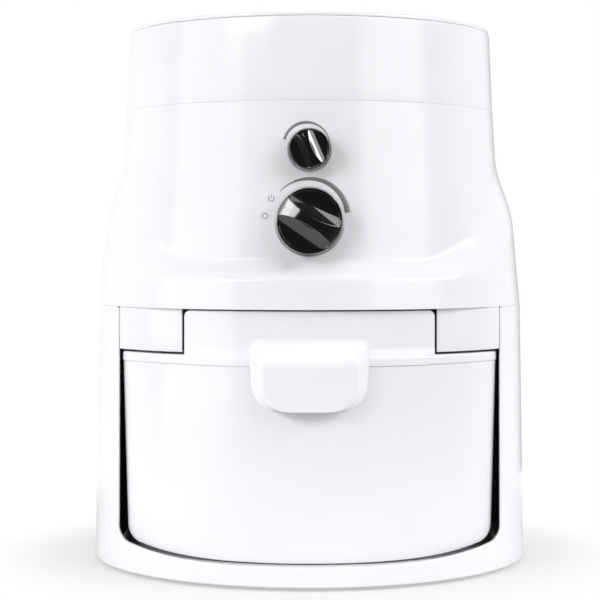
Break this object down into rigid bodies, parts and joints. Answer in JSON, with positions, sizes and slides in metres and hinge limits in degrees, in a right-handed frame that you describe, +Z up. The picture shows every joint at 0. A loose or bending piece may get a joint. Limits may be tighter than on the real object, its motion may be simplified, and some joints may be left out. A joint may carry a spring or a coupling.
{
  "type": "electric grain mill",
  "caption": "Round white countertop mill: hopper on top, panel with a feed knob and a speed knob, and a flour bowl that slides out of the front.",
  "frame": {"origin": "on the machine's vertical axis, at the level of the surface that it stands on", "axes": "+Z up, -Y towards the front with the knobs and the bowl, +X to the right as seen from the front"},
  "size_m": [0.269, 0.2759, 0.3286],
  "materials": {
    "white_plastic": "gloss white",
    "black_plastic": "gloss black",
    "silver_trim": "satin silver grey",
    "inner_plastic": "matte, off-white",
    "gear_plastic": "matte, natural nylon",
    "rubber": "matte black",
    "seal_rubber": "matte grey silicone",
    "foam": "open-cell foam, matte",
    "steel": "brushed",
    "zinc_steel": "zinc plated",
    "aluminium": "die cast",
    "lamination": "varnished laminations",
    "copper": "enamelled copper",
    "brass": "plain brass",
    "carbon": "matte carbon",
    "board": "green laminate with parts"
  },
  "bodies": {
    "machine": {"base_housing": "white_plastic", "rubber_feet": "rubber", "cord_gland": "rubber", "bowl_deck": "white_plastic", "upper_housing": "white_plastic", "rear_grille": "white_plastic", "housing_screws": "zinc_steel", "hopper": "white_plastic", "rack_guide": "steel", "power_switch": "black_plastic", "speed_pot": "steel", "panel_nuts": "zinc_steel", "control_board": "board", "heatsink": "aluminium", "motor_bushes": "rubber", "bottom_bracket": "aluminium", "top_bracket": "aluminium", "motor_screws": "zinc_steel", "stator_core": "lamination", "field_windings": "copper", "brush_holders": "brass", "carbon_brushes": "carbon", "lower_bearing": "steel", "upper_bearing": "steel", "mill_chamber": "aluminium", "chamber_seal": "seal_rubber", "mill_cover": "aluminium", "fixed_disc": "steel", "chamber_screws": "zinc_steel", "flour_duct": "inner_plastic", "duct_gasket": "seal_rubber", "feed_throat": "inner_plastic"},
    "lid": {"hopper_lid": "white_plastic"},
    "bowl": {"flour_bowl": "white_plastic", "bowl_gasket": "seal_rubber", "bowl_lid": "white_plastic", "separator_cup": "inner_plastic", "separator_cap": "inner_plastic", "filter_foam": "foam", "filter_frame": "inner_plastic"},
    "feed_control": {"feed_knob": "black_plastic", "feed_knob_ring": "silver_trim", "feed_shaft": "steel", "feed_pinion": "gear_plastic"},
    "feed_gate": {"feed_rack": "steel", "feed_plug": "gear_plastic"},
    "speed_control": {"speed_knob": "black_plastic", "speed_knob_ring": "silver_trim", "speed_shaft": "steel"},
    "rotor": {"motor_shaft": "steel", "armature_core": "lamination", "armature_windings": "copper", "commutator": "copper", "cooling_fan": "inner_plastic", "turning_disc": "steel", "disc_nut": "zinc_steel"}
  },
  "joints": [
    {"name": "hopper_lid_lift", "type": "slide", "parent": "machine", "child": "lid", "axis": [0, 0, 1], "range_m": [0, 0.06]},
    {"name": "bowl_slide", "type": "slide", "parent": "machine", "child": "bowl", "axis": [0, -1, 0], "range_m": [0, 0.24]},
    {"name": "feed_turn", "type": "hinge", "parent": "machine", "child": "feed_control", "pos_m": [0, -0.1, 0.208], "axis": [0, -1, 0], "range_deg": [-138.5, 23]},
    {"name": "feed_lift", "type": "slide", "parent": "machine", "child": "feed_gate", "axis": [0, 0, 1], "range_m": [-0.00245, 0.01455]},
    {"name": "speed_turn", "type": "hinge", "parent": "machine", "child": "speed_control", "pos_m": [0, -0.1, 0.2488], "axis": [0, -1, 0], "range_deg": [-93, 43.4]},
    {"name": "rotor_spin", "type": "hinge", "parent": "machine", "child": "rotor", "pos_m": [0, 0, 0.2], "axis": [0, 0, 1], "continuous": true}
  ],
  "couplings": [
    {"joint": "feed_lift", "follows": "feed_turn", "m_per_rad": -0.006}
  ]
}
